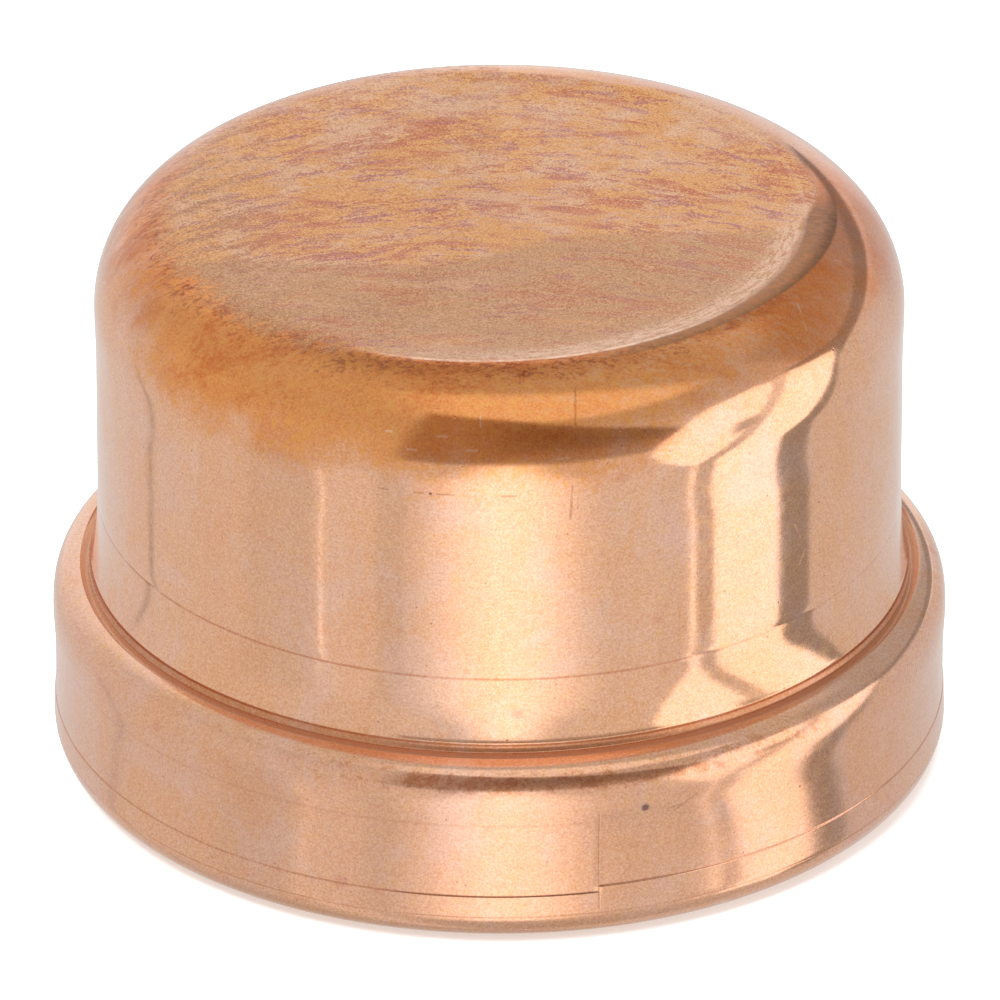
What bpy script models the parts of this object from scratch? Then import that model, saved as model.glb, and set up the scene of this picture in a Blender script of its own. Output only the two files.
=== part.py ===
"""A large-diameter copper press cap, standing on its mouth.

The drawn copper shell closes the end of a tube. Its skirt is rolled out into a chamber that holds,
from the mouth inwards, a split grip ring, a separator ring and a rubber seal ring. The rolled-in lip
of the mouth keeps them there. The frame is +Z up along the cap's axis, with its origin at the centre
of the mouth. Profiles are lists of (radius, height) in millimetres, turned about +Z.
"""

import math

import bmesh
import bpy
from mathutils import Matrix, Vector

MM = 0.001
MERGE = 1e-7
SMOOTH_BELOW = math.radians(35)

# Driving dimensions, in millimetres
TUBE_OD = 66.675  # nominal 2-1/2 in copper tube
SOCKET_CLEARANCE = 0.325
WALL = 2.0
HEIGHT = 51.6
SKIRT_RADIUS = 39.54
PIECE_GAP = 0.3

# The shell's outside
BORE_RADIUS = TUBE_OD / 2 + SOCKET_CLEARANCE / 2
BODY_RADIUS = BORE_RADIUS + WALL
CORNER = 8.8
CORNER_BULGE = 0.12
BULGE_RUN = 5.0
DISH_DEPTH = 0.9
DISH_FLAT = 8.0
DISH_EDGE = 1.6
RIM_LAND = 0.3
FLARE_TOP = 24.25
FLARE_BOTTOM = 18.3
FLARE_OUT = 0.65
GROOVE_FLOOR = 16.6
GROOVE_RADIUS = BODY_RADIUS + 0.95
NECK_HEIGHT = 0.85
NECK_DRAFT = 0.1
CREST_RADIUS = BODY_RADIUS + 1.6
SHOULDER_HEIGHT = 13.1
SHOULDER_ACROSS = 4.3
SHOULDER_UP = 4.3
SHOULDER_SQUARENESS = 3.0
SKIRT_WAIST = 0.2
LIP = 3.0
LIP_LAND = 1.9
LIP_EDGE = 0.4

# The chamber inside the skirt, and what it holds
CHAMBER_RADIUS = SKIRT_RADIUS - WALL
CHAMBER_TOP_BEND = 2.2
BORE_LEAD = (0.6, 0.4)  # the chamber's step in to the bore, across and up
SEAL_WIRE = 4.0
SEAL_HEIGHT = 13.0
SEPARATOR_LOW = 7.8
SEPARATOR_HIGH = 10.7
SEPARATOR_BORE = TUBE_OD / 2 + 0.45
SEPARATOR_BEVEL = 0.4
GRIP_LOW = WALL + PIECE_GAP
GRIP_HIGH = SEPARATOR_LOW - PIECE_GAP
GRIP_BITE = TUBE_OD / 2 + 0.1
GRIP_ROOT = TUBE_OD / 2 + 1.3
GRIP_FIT = 0.1  # extra room outside the grip ring
GRIP_TOE = 1.5  # how far its lower edge stands in, over the lip's bend
GRIP_RIDGES = (1.4, 1.2)  # the lower one above its lower face, the upper one below its upper face
GRIP_BACK = (0.2, 0.4)  # its lower and upper faces' inner edges, outside the slots' roots
GRIP_TEETH = 28
GRIP_SLOT_SHARE = 0.28  # of the pitch between teeth
GRIP_FLANK_SHARE = 0.25  # of the slot's width, outside it at each side
GRIP_SPLIT_AT = 215  # degrees from +X
GRIP_SPLIT = 6  # degrees, left open

SEGMENTS = 60
SEAL_SIDES = 12

COPPER = ("copper", (0.86, 0.47, 0.29), 0.24, 1.0)
RUBBER = ("seal_rubber", (0.025, 0.025, 0.027), 0.6, 0.0)
PLASTIC = ("separator_plastic", (0.62, 0.6, 0.55), 0.45, 0.0)
STEEL = ("grip_steel", (0.62, 0.62, 0.63), 0.3, 1.0)


def clear_scene():
    for obj in list(bpy.data.objects):
        bpy.data.objects.remove(obj)


def material(name, colour, roughness, metallic):
    made = bpy.data.materials.new(name)
    made.use_nodes = True
    shader = made.node_tree.nodes["Principled BSDF"]
    shader.inputs["Base Color"].default_value = (*colour, 1)
    shader.inputs["Roughness"].default_value = roughness
    shader.inputs["Metallic"].default_value = metallic
    return made


def arc(centre, radius, start, end, steps):
    """Points along an arc of a profile. Angles are in degrees, 0 outwards and 90 up."""
    angles = [math.radians(start + (end - start) * i / steps) for i in range(steps + 1)]
    return [(centre[0] + radius * math.cos(a), centre[1] + radius * math.sin(a)) for a in angles]


def shoulder():
    """The skirt's squarish shoulder, from its crest beside the groove out to the skirt."""
    centre = SKIRT_RADIUS - SHOULDER_ACROSS
    power = 2 / SHOULDER_SQUARENESS
    crest = math.acos(((CREST_RADIUS - centre) / SHOULDER_ACROSS) ** (1 / power))
    steps = 7
    points = []
    for i in range(steps):
        angle = crest * (1 - i / steps)
        across = SHOULDER_ACROSS * math.cos(angle) ** power
        up = SHOULDER_UP * math.sin(angle) ** power
        points.append((centre + across, SHOULDER_HEIGHT + up))
    return points + [(SKIRT_RADIUS, SHOULDER_HEIGHT)]


def dish(drop):
    """The dished closed end, from its centre to the crease where the corner starts."""
    crease = BODY_RADIUS + CORNER_BULGE - CORNER
    floor = HEIGHT - DISH_DEPTH - drop
    return [
        (0, floor),
        (DISH_FLAT, floor),
        (crease * 0.7, floor + DISH_DEPTH * 0.25),
        (crease - DISH_EDGE, floor + DISH_DEPTH * 0.7),
        (crease - RIM_LAND, HEIGHT - drop),
    ]


def flare():
    """The body's lower end, widening to the neck beside the groove."""
    points = [(BODY_RADIUS, FLARE_TOP)]
    for t in (0.4, 0.75, 1):
        points.append((BODY_RADIUS + FLARE_OUT * t * t, FLARE_TOP + (FLARE_BOTTOM - FLARE_TOP) * t))
    neck = (GROOVE_RADIUS - NECK_DRAFT, GROOVE_FLOOR + NECK_HEIGHT)
    return points + [neck, (GROOVE_RADIUS, GROOVE_FLOOR)]


def shell_outside():
    """From the centre of the closed end, over the corner and down to the lip's flat land."""
    corner_centre = (BODY_RADIUS + CORNER_BULGE - CORNER, HEIGHT - CORNER)
    bulge_end = corner_centre[1] - BULGE_RUN
    lip_centre = (SKIRT_RADIUS - LIP, LIP)
    points = dish(0)
    points += arc(corner_centre, CORNER, 90, 0, 9)
    points += [(BODY_RADIUS + CORNER_BULGE / 2, corner_centre[1] - BULGE_RUN / 2), (BODY_RADIUS, bulge_end)]
    points += flare()
    points += shoulder()
    points += [(SKIRT_RADIUS - SKIRT_WAIST, (SHOULDER_HEIGHT + LIP) / 2)]
    points += arc(lip_centre, LIP, 0, -90, 5)
    points += [(lip_centre[0] - LIP_LAND, 0)]
    return points


def shell_inside():
    """From the lip's edge, through the chamber and up the bore to the centre of the closed end."""
    lip_centre = (SKIRT_RADIUS - LIP, LIP)
    lip_edge = lip_centre[0] - LIP_LAND - LIP_EDGE
    chamber_bend = (CHAMBER_RADIUS - CHAMBER_TOP_BEND, SHOULDER_HEIGHT)
    corner_centre = (BODY_RADIUS - CORNER, HEIGHT - CORNER)
    points = [(lip_edge, LIP_EDGE), (lip_edge, WALL - LIP_EDGE), (lip_edge + LIP_EDGE, WALL)]
    points += arc(lip_centre, LIP - WALL, -90, 0, 3)
    points += arc(chamber_bend, CHAMBER_TOP_BEND, 0, 90, 4)
    lead = (BORE_RADIUS + BORE_LEAD[0], SHOULDER_HEIGHT + CHAMBER_TOP_BEND + BORE_LEAD[1])
    points += [lead, (BORE_RADIUS, FLARE_BOTTOM)]
    points += arc(corner_centre, CORNER - WALL, 0, 90, 5)
    points += reversed(dish(WALL)[:-1])
    return points


def turned(name, profile, closed, finish):
    """A solid of revolution about +Z. An open profile starts and ends on the axis."""
    mesh = bmesh.new()
    verts = [mesh.verts.new(Vector((r, 0, z)) * MM) for r, z in profile]
    ring = verts + verts[:1] if closed else verts
    edges = [mesh.edges.new(pair) for pair in zip(ring, ring[1:])]
    bmesh.ops.spin(
        mesh, geom=verts + edges, cent=(0, 0, 0), axis=(0, 0, 1),
        angle=math.tau, steps=SEGMENTS, use_merge=True,
    )
    bmesh.ops.remove_doubles(mesh, verts=mesh.verts, dist=MERGE)
    return finished(name, mesh, finish)


def swept(name, sections, finish):
    """A solid through sections, each an angle in degrees and a closed profile, with its ends capped."""
    mesh = bmesh.new()
    loops = []
    for angle, profile in sections:
        turn = Matrix.Rotation(math.radians(angle), 3, "Z")
        loops.append([mesh.verts.new(turn @ Vector((r, 0, z)) * MM) for r, z in profile])
    for near, far in zip(loops, loops[1:]):
        for i in range(len(near)):
            j = (i + 1) % len(near)
            mesh.faces.new((near[i], near[j], far[j], far[i]))
    mesh.faces.new(loops[0])
    mesh.faces.new(reversed(loops[-1]))
    return finished(name, mesh, finish)


def finished(name, mesh, finish):
    bmesh.ops.recalc_face_normals(mesh, faces=mesh.faces)
    data = bpy.data.meshes.new(name)
    mesh.to_mesh(data)
    mesh.free()
    data.shade_smooth()
    data.set_sharp_from_angle(angle=SMOOTH_BELOW)
    data.materials.append(finish)
    obj = bpy.data.objects.new(name, data)
    bpy.context.scene.collection.objects.link(obj)
    return obj


def seal_profile():
    """The round section of the seal, which reaches just inside the tube's surface."""
    centre = (CHAMBER_RADIUS - PIECE_GAP - SEAL_WIRE / 2, SEAL_HEIGHT)
    return arc(centre, SEAL_WIRE / 2, 0, 360, SEAL_SIDES)[:-1]


def separator_profile():
    """A flat ring with its two outer corners broken."""
    outer = CHAMBER_RADIUS - PIECE_GAP
    return [
        (SEPARATOR_BORE, SEPARATOR_LOW),
        (outer - SEPARATOR_BEVEL, SEPARATOR_LOW),
        (outer, SEPARATOR_LOW + SEPARATOR_BEVEL),
        (outer, SEPARATOR_HIGH - SEPARATOR_BEVEL),
        (outer - SEPARATOR_BEVEL, SEPARATOR_HIGH),
        (SEPARATOR_BORE, SEPARATOR_HIGH),
    ]


def grip_profile(bite):
    """The grip ring's section, with its two biting ridges at radius bite."""
    outer = CHAMBER_RADIUS - PIECE_GAP - GRIP_FIT
    lower_ridge = GRIP_LOW + GRIP_RIDGES[0]
    upper_ridge = GRIP_HIGH - GRIP_RIDGES[1]
    return [
        (outer - GRIP_TOE, GRIP_LOW),
        (outer, LIP),
        (outer, GRIP_HIGH),
        (GRIP_ROOT + GRIP_BACK[1], GRIP_HIGH),
        (bite, upper_ridge),
        ((bite + GRIP_ROOT) / 2, (upper_ridge + lower_ridge) / 2),
        (bite, lower_ridge),
        (GRIP_ROOT + GRIP_BACK[0], GRIP_LOW),
    ]


def grip_sections():
    """Teeth and slots in turn round the ring, from one side of the split to the other."""
    start = GRIP_SPLIT_AT + GRIP_SPLIT / 2
    pitch = (360 - GRIP_SPLIT) / GRIP_TEETH
    slot = pitch * GRIP_SLOT_SHARE
    flank = slot * GRIP_FLANK_SHARE
    tooth, root = grip_profile(GRIP_BITE), grip_profile(GRIP_ROOT)
    sections = [(start, tooth)]
    for i in range(1, GRIP_TEETH):
        middle = start + pitch * i
        sections += [(middle - slot / 2 - flank, tooth), (middle - slot / 2, root)]
        sections += [(middle + slot / 2, root), (middle + slot / 2 + flank, tooth)]
    sections.append((start + 360 - GRIP_SPLIT, tooth))
    return sections


def main():
    clear_scene()
    turned("cap_body", shell_outside() + shell_inside(), False, material(*COPPER))
    turned("seal_ring", seal_profile(), True, material(*RUBBER))
    turned("separator_ring", separator_profile(), True, material(*PLASTIC))
    swept("grip_ring", grip_sections(), material(*STEEL))


main()
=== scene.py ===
"""The looks of a large copper press cap, standing on its mouth on a pale table.

Lengths are in millimetres unless a name says otherwise, and profiles are lists of (radius, height) turned
about +Z. The usual view is from -Y. A direction is given by its azimuth and elevation in degrees: azimuth 0
points at that view, 90 to its right.
"""

import math
import random
from types import SimpleNamespace

import bpy
import numpy as np
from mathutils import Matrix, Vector


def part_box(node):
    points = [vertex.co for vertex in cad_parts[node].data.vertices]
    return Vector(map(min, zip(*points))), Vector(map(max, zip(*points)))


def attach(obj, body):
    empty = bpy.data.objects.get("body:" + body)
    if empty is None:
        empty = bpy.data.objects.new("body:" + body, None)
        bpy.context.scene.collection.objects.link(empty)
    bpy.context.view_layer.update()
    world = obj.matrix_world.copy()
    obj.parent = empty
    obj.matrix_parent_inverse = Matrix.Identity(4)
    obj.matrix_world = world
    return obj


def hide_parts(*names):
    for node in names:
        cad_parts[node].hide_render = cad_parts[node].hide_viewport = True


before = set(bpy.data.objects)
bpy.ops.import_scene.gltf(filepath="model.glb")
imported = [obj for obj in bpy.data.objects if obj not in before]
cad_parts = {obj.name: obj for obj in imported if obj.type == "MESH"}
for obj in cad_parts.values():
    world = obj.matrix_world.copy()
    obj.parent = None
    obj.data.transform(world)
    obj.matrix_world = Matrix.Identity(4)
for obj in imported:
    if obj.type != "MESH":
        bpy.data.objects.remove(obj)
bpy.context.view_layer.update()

MM = 0.001
DEGREES = 180 / math.pi
TURN = 360
CAP_LOW, CAP_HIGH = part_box("cap_body")
SEAL_LOW, SEAL_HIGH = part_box("seal_ring")
SEPARATOR_LOW, SEPARATOR_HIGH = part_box("separator_ring")
GRIP_LOW, GRIP_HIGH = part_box("grip_ring")
HEIGHT = (CAP_HIGH.z - CAP_LOW.z) / MM
SKIRT_RADIUS = (CAP_HIGH.x - CAP_LOW.x) / 2 / MM

# The copper shell
WALL = 2.0
BODY_RADIUS = SKIRT_RADIUS - 4.04
BORE_RADIUS = BODY_RADIUS - WALL
CORNER = 8.8
CORNER_BULGE = 0.12
BULGE_RUN = 5.0
DISH_DEPTH = 0.9
DISH_CENTRE = (-1.2, -0.1)
DISH_RADIUS = 28.1
SOFT_RIM_RADIUS = 26.8
RIM_WEAR = 0.05
FLARE_TOP = 24.25
FLARE_BOTTOM = 18.3
FLARE_OUT = 0.65
GROOVE_FLOOR = 16.6
GROOVE_RADIUS = BODY_RADIUS + 0.95
CREST_RADIUS = BODY_RADIUS + 1.6
SHOULDER_HEIGHT = 13.1
SHOULDER_ACROSS = 4.3
SHOULDER_UP = 4.3
SHOULDER_SQUARENESS = 3.0
SKIRT_WAIST = 0.12
LIP = 3.0
LIP_LAND = 1.9
LIP_EDGE = 0.4
CHAMBER_RADIUS = SKIRT_RADIUS - WALL
CHAMBER_TOP_BEND = 2.2

# The marks that the dies left on the skirt
SEAM_AZIMUTH = 12.7  # where the die's two halves met in front; they met again at the back
SEAM_TOP = 12.6
DIE_EDGE = (4.9, 5.45)  # height of the die's lower edge, left and right of the seam
DIE_EDGE_STEP = 0.06
UPPER_RING = 11.85
LOWER_RING = 2.84

SEGMENTS = 640

# The view
CAMERA_ELEVATION = 27.94
CAMERA_DISTANCE = 1500.0
AIM_HEIGHT = 22.97
AIM_RIGHT = 0.06
PIXELS_PER_MM = 11.32
PICTURE_WIDTH = 1000
SENSOR_MM = 36.0

# What stands round it
TABLE_RADIUS = 4000.0
LAMP_PLACE = (-300, -200, 1500)
LAMP_SIZE = 1400
LAMP_WATTS = 45


# ---- Profiles ----

def arc(centre, radius, start, end, steps):
    """Points along an arc of a profile. Angles are in degrees, 0 outwards and 90 up."""
    angles = [math.radians(start + (end - start) * i / steps) for i in range(steps + 1)]
    return [(centre[0] + radius * math.cos(a), centre[1] + radius * math.sin(a)) for a in angles]


def straight(start, end, steps):
    """Points of a straight run, without its first."""
    return [
        (start[0] + (end[0] - start[0]) * i / steps, start[1] + (end[1] - start[1]) * i / steps)
        for i in range(1, steps + 1)
    ]


def smooth(t):
    """Eases from 0 to 1."""
    t = np.clip(t, 0, 1)
    return t * t * (3 - 2 * t)


def dish_rise(t):
    """How far the dished end has risen at a share t of the way to its rim: mostly just inside the rim."""
    return 0.35 * t ** 2 + 0.65 * t ** 9


def softness(azimuth):
    """1 on the left, where the dished end has no crease at its rim, and 0 in front and on the right."""
    return smooth((np.cos(azimuth + math.radians(100)) - 0.1) / 0.45)


def rim_radius(azimuth):
    """The dish isn't quite central, so its rim's distance from the axis depends on the azimuth."""
    across = DISH_CENTRE[0] * np.sin(azimuth) - DISH_CENTRE[1] * np.cos(azimuth)
    offset = math.hypot(*DISH_CENTRE)
    crisp = across + np.sqrt(DISH_RADIUS ** 2 - offset ** 2 + across ** 2)
    return crisp + (SOFT_RIM_RADIUS - crisp) * softness(azimuth)


def top_rows(azimuth, dish_steps=64, corner_steps=76):
    """Radii and heights of the dished end and of the corner round it, in rows from the middle outwards."""
    centre = (BODY_RADIUS + CORNER_BULGE - CORNER, HEIGHT - CORNER)
    soft = softness(azimuth)
    rim = rim_radius(azimuth)
    lean = np.arccos((rim - centre[0]) / CORNER)
    floor = HEIGHT - DISH_DEPTH
    climb = centre[1] + CORNER * np.sin(lean) - floor
    rows = []
    for i in range(1, dish_steps + 1):
        t = (i / dish_steps) ** 0.75
        rise = dish_rise(t) + (smooth(t) - dish_rise(t)) * soft
        rows.append((rim * t, floor + climb * rise))
    for i in range(1, corner_steps + 1):
        angle = lean * (1 - i / corner_steps)
        rows.append((centre[0] + CORNER * np.cos(angle), centre[1] + CORNER * np.sin(angle)))
    radius, height = np.array(rows).transpose(1, 0, 2)
    return radius, height - RIM_WEAR * (1 - soft) * np.exp(-((radius - rim) / 0.3) ** 2)


def flare():
    """The body's lower end: the forming line, the widening below it, and the neck beside the groove."""
    line = FLARE_TOP - 0.15
    points = [(BODY_RADIUS - 0.01, FLARE_TOP + 0.12), (BODY_RADIUS - 0.01, FLARE_TOP), (BODY_RADIUS, line)]
    steps = 20
    for i in range(1, steps + 1):
        t = i / steps
        out = FLARE_OUT * (0.25 * t + 0.75 * t ** 3)
        points.append((BODY_RADIUS + out, line + (FLARE_BOTTOM - line) * t))
    edge = BODY_RADIUS + FLARE_OUT
    points += [(edge + 0.02, FLARE_BOTTOM - 0.05), (edge + 0.03, FLARE_BOTTOM - 0.18)]
    points += [(edge, FLARE_BOTTOM - 0.32), (edge + 0.03, FLARE_BOTTOM - 0.5)]
    points += straight(points[-1], (GROOVE_RADIUS - 0.16, GROOVE_FLOOR + 0.9), 4)
    points += [(GROOVE_RADIUS - 0.08, GROOVE_FLOOR + 0.84), (GROOVE_RADIUS - 0.08, GROOVE_FLOOR + 0.7)]
    points += straight(points[-1], (GROOVE_RADIUS - 0.05, GROOVE_FLOOR + 0.15), 3)
    points += [(GROOVE_RADIUS + 0.02, GROOVE_FLOOR), (GROOVE_RADIUS + 0.12, GROOVE_FLOOR + 0.08)]
    return points


def shoulder(steps):
    """The skirt's squarish shoulder, from its crest beside the groove out to the skirt."""
    centre = SKIRT_RADIUS - SHOULDER_ACROSS
    power = 2 / SHOULDER_SQUARENESS
    crest = math.acos(((CREST_RADIUS - centre) / SHOULDER_ACROSS) ** (1 / power))
    points = []
    for i in range(steps):
        angle = crest * (1 - i / steps) ** 1.3
        across = SHOULDER_ACROSS * math.cos(angle) ** power
        up = SHOULDER_UP * math.sin(angle) ** power
        points.append((centre + across, SHOULDER_HEIGHT + up))
    return points + [(SKIRT_RADIUS, SHOULDER_HEIGHT)]


def skirt():
    """The skirt's band with its slight waist, in finer steps where the die's lower edge crosses it."""
    run = SHOULDER_HEIGHT - LIP
    low, high = DIE_EDGE
    heights = np.concatenate([
        np.linspace(SHOULDER_HEIGHT, high + 0.3, 24)[1:],
        np.linspace(high + 0.3, low - 0.3, 26)[1:],
        np.linspace(low - 0.3, LIP, 8)[1:],
    ])
    return [(SKIRT_RADIUS - SKIRT_WAIST * math.sin(math.pi * (z - LIP) / run), z) for z in heights]


def shell_outside():
    """The outside from the foot of the corner down to the lip's flat land."""
    points = []
    steps = 8
    for i in range(1, steps + 1):
        out = CORNER_BULGE * (1 - smooth(i / steps))
        points.append((BODY_RADIUS + out, HEIGHT - CORNER - BULGE_RUN * i / steps))
    points += straight(points[-1], (BODY_RADIUS, FLARE_TOP + 0.25), 24)
    points += flare()
    points += shoulder(36)
    points += skirt()
    lip_centre = (SKIRT_RADIUS - LIP, LIP)
    points += arc(lip_centre, LIP, 0, -90, 30)[1:]
    return points + straight(points[-1], (lip_centre[0] - LIP_LAND, 0), 3)


def shell_inside():
    """The inside from the lip's edge, through the chamber and up the bore to the closed end's middle."""
    lip_centre = (SKIRT_RADIUS - LIP, LIP)
    edge_centre = lip_centre[0] - LIP_LAND
    points = arc((edge_centre, LIP_EDGE), LIP_EDGE, 270, 180, 4)[1:]
    points += arc((edge_centre, WALL - LIP_EDGE), LIP_EDGE, 180, 90, 4)
    points += arc(lip_centre, LIP - WALL, -90, 0, 8)
    points += straight(points[-1], (CHAMBER_RADIUS, SHOULDER_HEIGHT), 6)
    bend_centre = (CHAMBER_RADIUS - CHAMBER_TOP_BEND, SHOULDER_HEIGHT)
    points += arc(bend_centre, CHAMBER_TOP_BEND, 0, 90, 16)[1:]
    chamber_top = SHOULDER_HEIGHT + CHAMBER_TOP_BEND
    points += [(BORE_RADIUS + 0.6, chamber_top + 0.4), (BORE_RADIUS, FLARE_BOTTOM)]
    points += straight(points[-1], (BORE_RADIUS, HEIGHT - CORNER), 12)
    end_radius = BODY_RADIUS - CORNER
    points += arc((end_radius, HEIGHT - CORNER), CORNER - WALL, 0, 90, 24)[1:]
    steps = 24
    for i in range(steps - 1, -1, -1):
        points.append((end_radius * i / steps, HEIGHT - WALL - DISH_DEPTH * (1 - dish_rise(i / steps))))
    return points


# ---- Meshes ----

def mesh_object(name, verts, faces, smooth_below=40):
    data = bpy.data.meshes.new(name)
    data.from_pydata([tuple(v) for v in verts], [], faces)
    data.validate()
    data.shade_smooth()
    data.set_sharp_from_angle(angle=math.radians(smooth_below))
    obj = bpy.data.objects.new(name, data)
    bpy.context.scene.collection.objects.link(obj)
    return obj


def waves(seed, count, around, along):
    """A smooth uneven field over (azimuth, height) between about -1 and 1, the same on each run."""
    draw = random.Random(seed)
    terms = []
    for _ in range(count):
        n = draw.randint(1, around)
        k = draw.uniform(-along, along)
        terms.append((n, k, draw.uniform(0, math.tau), draw.uniform(0.4, 1)))
    total = sum(t[3] for t in terms) / 1.6

    def field(azimuth, height):
        return sum(a * np.cos(n * azimuth + k * height + p) for n, k, p, a in terms) / total
    return field


def die_step(azimuth, height):
    """How far the skirt stands in above the die's lower edge, which is higher on the seam's right."""
    turn = (np.degrees(azimuth) - SEAM_AZIMUTH) % 360
    edge = np.where(turn < 180, DIE_EDGE[1], DIE_EDGE[0])
    edge = edge + 0.05 * waves(21, 6, 5, 0)(azimuth, 0 * height)
    below_shoulder = smooth((SHOULDER_HEIGHT - height) / 3)
    beside_seam = -0.035 * np.clip(1 - turn / 30, 0, 1) * smooth((SEAM_TOP - height) / 0.8)
    return (beside_seam - DIE_EDGE_STEP * below_shoulder) * smooth((height - edge) / 0.13 + 0.5)


def shell_unevenness(azimuth, height):
    """How far the outside stands out of true: hand-scale waviness, and what the dies left."""
    wobble = 0.012 * waves(3, 14, 9, 0.25)(azimuth, height) + 0.003 * waves(8, 18, 28, 0.9)(azimuth, height)
    on_skirt = (height < SHOULDER_HEIGHT) & (height > LIP)
    return wobble - 0.012 + die_step(azimuth, height) * on_skirt


def ring_faces(rings, segments, closed):
    """Quads between closed rings of vertices."""
    faces = []
    for i in range(rings if closed else rings - 1):
        a, b = i * segments, (i + 1) % rings * segments
        for j in range(segments):
            k = (j + 1) % segments
            faces.append((a + j, b + j, b + k, a + k))
    return faces


def ring_verts(radius, height, azimuth):
    """Vertices of a grid of radii and heights, one row for each profile point."""
    return np.stack([radius * np.sin(azimuth), -radius * np.cos(azimuth), height], 2).reshape(-1, 3)


def shell():
    """The copper's mesh: outside first, then the inside, with its two ends closed on the axis."""
    outside, inside = shell_outside(), shell_inside()
    middle = inside.pop()
    turn = np.linspace(-math.pi, math.pi, SEGMENTS, endpoint=False)
    top_radius, top_height = top_rows(turn)
    profile = np.array(outside + inside)[:, :, None] + 0 * turn
    radius = np.vstack([top_radius, profile[:, 0]])
    height = np.vstack([top_height, profile[:, 1]])
    azimuth = turn + 0 * radius
    outside_rows = len(top_radius) + len(outside)
    across, up = np.gradient(radius, axis=0), np.gradient(height, axis=0)
    run = np.hypot(across, up) + 1e-9
    is_outside = (np.arange(len(radius)) < outside_rows)[:, None]
    push = shell_unevenness(azimuth, height) * is_outside * smooth(radius / 6)
    radius = radius - push * up / run
    height = height + push * across / run
    verts = ring_verts(radius, height, azimuth)
    faces = ring_faces(len(radius), SEGMENTS, False)
    top, under = len(verts), len(verts) + 1
    verts = np.vstack([verts, [(0, 0, HEIGHT - DISH_DEPTH), (0, 0, middle[1])]])
    last = (len(radius) - 1) * SEGMENTS
    for j in range(SEGMENTS):
        k = (j + 1) % SEGMENTS
        faces.append((top, j, k))
        faces.append((under, last + k, last + j))
    obj = mesh_object("copper_shell", verts * MM, faces)
    obj.data.materials.append(copper())
    obj.data.materials.append(bare_copper())
    for face in obj.data.polygons:
        if min(face.vertices) >= outside_rows * SEGMENTS:
            face.material_index = 1
    return obj


def ring(name, profile, segments, wobble):
    """A closed ring turned from a profile, given a little unevenness."""
    rows = np.array(profile)
    turn = np.linspace(-math.pi, math.pi, segments, endpoint=False)
    azimuth, radius = np.meshgrid(turn, rows[:, 0])
    height = np.repeat(rows[:, 1:2], segments, 1)
    radius = radius - abs(wobble) * (1 + waves(31, 8, 7, 0.2)(azimuth, height))
    return mesh_object(name, ring_verts(radius, height, azimuth) * MM, ring_faces(len(rows), segments, True))


def seal_ring():
    """A round rubber seal with the fine moulding flash round its inner and outer edges."""
    wire = (SEAL_HIGH.z - SEAL_LOW.z) / 2 / MM
    centre = (SEAL_HIGH.x / MM - wire, (SEAL_HIGH.z + SEAL_LOW.z) / 2 / MM)
    profile = []
    for radius, height in arc(centre, wire - 0.05, 0, 360, 64)[:-1]:
        side = (radius - centre[0]) / wire
        flash = 0.04 * math.exp(-((height - centre[1]) / 0.09) ** 2)
        profile.append((radius + math.copysign(flash, side), height))
    return ring("rubber_seal", profile, 256, 0.01)


def separator_ring():
    """A moulded ring with rounded edges and a shallow channel in each flat."""
    outer = SEPARATOR_HIGH.x / MM
    low, high = SEPARATOR_LOW.z / MM, SEPARATOR_HIGH.z / MM
    bore = BORE_RADIUS + 0.29
    edge, round_off = 0.4, 0.18
    middle = (bore + outer) / 2
    channel = [(-0.75, 0), (-0.6, 0.16), (0.6, 0.16), (0.75, 0)]
    profile = arc((outer - edge, low + edge), edge, -90, 0, 6)
    profile += arc((outer - edge, high - edge), edge, 0, 90, 6)
    profile += [(middle - across, high - deep) for across, deep in channel]
    profile += arc((bore + round_off, high - round_off), round_off, 90, 180, 4)
    profile += arc((bore + round_off, low + round_off), round_off, 180, 270, 4)
    profile += [(middle + across, low + deep) for across, deep in channel]
    return ring("plastic_separator", profile, 256, 0.008)


def grip_section(bite, root):
    """The grip ring's section where its two biting edges reach radius bite."""
    outer = GRIP_HIGH.x / MM - 0.02
    low, high = GRIP_LOW.z / MM, GRIP_HIGH.z / MM
    upper, lower = high - 1.2, low + 1.4
    valley = (bite + root) / 2
    points = [(outer - 1.5, low + 0.02), (outer - 0.5, low + 0.32), (outer, LIP + 0.15), (outer, high - 0.2)]
    points += [(outer - 0.2, high), (root + 0.6, high), (root + 0.4, high - 0.06)]
    points += [(bite + 0.1, upper + 0.1), (bite, upper), (bite + 0.05, upper - 0.1)]
    points += [(valley, (upper + lower) / 2 + 0.2), (valley, (upper + lower) / 2 - 0.2)]
    points += [(bite + 0.1, lower + 0.1), (bite, lower), (bite + 0.05, lower - 0.1), (root + 0.2, low + 0.02)]
    return points


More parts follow.
